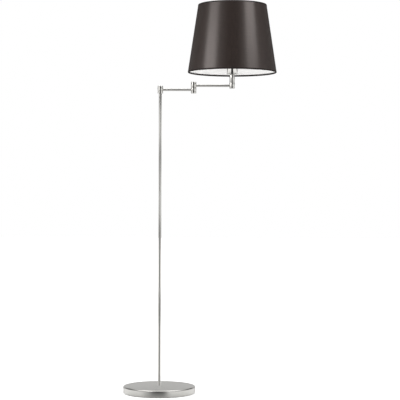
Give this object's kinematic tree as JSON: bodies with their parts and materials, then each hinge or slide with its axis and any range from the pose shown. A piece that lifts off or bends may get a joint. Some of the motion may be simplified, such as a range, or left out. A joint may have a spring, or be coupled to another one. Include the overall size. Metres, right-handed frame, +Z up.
{
  "type": "floor lamp",
  "caption": "Swing-arm floor lamp: round weighted base, slim pole, two arms on swivel hubs and a tapered dark fabric shade with white lining.",
  "frame": {"origin": "centre of the base's underside, on the pole's axis", "axes": "+Z up along the pole; +X along both arms at rest, towards the shade; +Y to the rear, where the cord enters the base"},
  "size_m": [0.6315, 0.368, 1.611],
  "materials": {
    "nickel": "satin brushed nickel plating",
    "zinc_steel": "bright zinc plated",
    "brass": "turned, bare",
    "cast_iron": "raw casting, dark",
    "foam_pad": "matt closed-cell foam",
    "grommet_rubber": "matt moulded rubber",
    "white_paint": "white powder coat",
    "white_plastic": "moulded thermoplastic, satin",
    "lead_sheath": "extruded sheath",
    "opal_glass": "opal, smooth",
    "shade_fabric": "dark brown satin-faced fabric laminated on a stiff backing",
    "shade_liner": "white laminated lining"
  },
  "bodies": {
    "stand": {"base_pad": "foam_pad", "base_weight": "cast_iron", "base_shell": "nickel", "cord_outlet_grommet": "grommet_rubber", "cord_clamp_bar": "zinc_steel", "cord_clamp_screw_left": "zinc_steel", "cord_clamp_screw_right": "zinc_steel", "terminal_block": "white_plastic", "pole_foot_nipple": "zinc_steel", "pole_foot_washer": "zinc_steel", "pole_foot_nut": "zinc_steel", "pole_lower_section": "nickel", "pole_middle_section": "nickel", "pole_upper_section": "nickel", "pole_lower_joiner": "zinc_steel", "pole_upper_joiner": "zinc_steel", "lead_in_pole": "lead_sheath", "pole_top_collar": "nickel", "collar_grub_screw": "zinc_steel", "pole_stop_pin": "zinc_steel", "pole_spindle": "brass", "pole_friction_washer": "white_plastic", "pole_spindle_nut": "brass", "pole_hub_cap": "nickel"},
    "lower_arm": {"pole_knuckle": "nickel", "lower_arm_tube": "nickel", "lead_in_lower_arm": "lead_sheath", "elbow_lower_knuckle": "nickel", "elbow_stop_pin": "zinc_steel", "elbow_bottom_cap": "nickel", "elbow_spindle": "brass", "elbow_friction_washer": "white_plastic", "elbow_spindle_nut": "brass", "elbow_top_cap": "nickel"},
    "upper_arm": {"elbow_upper_knuckle": "nickel", "upper_arm_tube": "nickel", "lead_in_upper_arm": "lead_sheath", "head_bottom_plug": "nickel", "head_knuckle": "nickel", "head_grub_screw": "zinc_steel", "head_stem": "nickel", "lampholder_nipple": "zinc_steel", "lampholder_cup": "nickel", "lampholder_base": "white_plastic", "lampholder_body": "white_plastic", "lampholder_screw_shell": "brass", "lampholder_contact": "brass", "shade_ring_nut": "white_plastic", "bulb_tip_contact": "brass", "bulb_cap": "zinc_steel", "bulb_envelope": "opal_glass", "shade_cover": "shade_fabric", "shade_liner": "shade_liner", "shade_bottom_ring": "white_paint", "shade_top_ring": "white_paint", "shade_fitter_ring": "white_paint", "shade_spoke_rear": "white_paint", "shade_spoke_left": "white_paint", "shade_spoke_right": "white_paint"}
  },
  "joints": [
    {"name": "pole_swivel", "type": "hinge", "parent": "stand", "child": "lower_arm", "pos_m": [0, 0, 1.2577], "axis": [0, 0, 1], "range_deg": [-165, 165]},
    {"name": "elbow_swivel", "type": "hinge", "parent": "lower_arm", "child": "upper_arm", "pos_m": [0.138, 0, 1.275], "axis": [0, 0, 1], "range_deg": [-165, 165]}
  ]
}
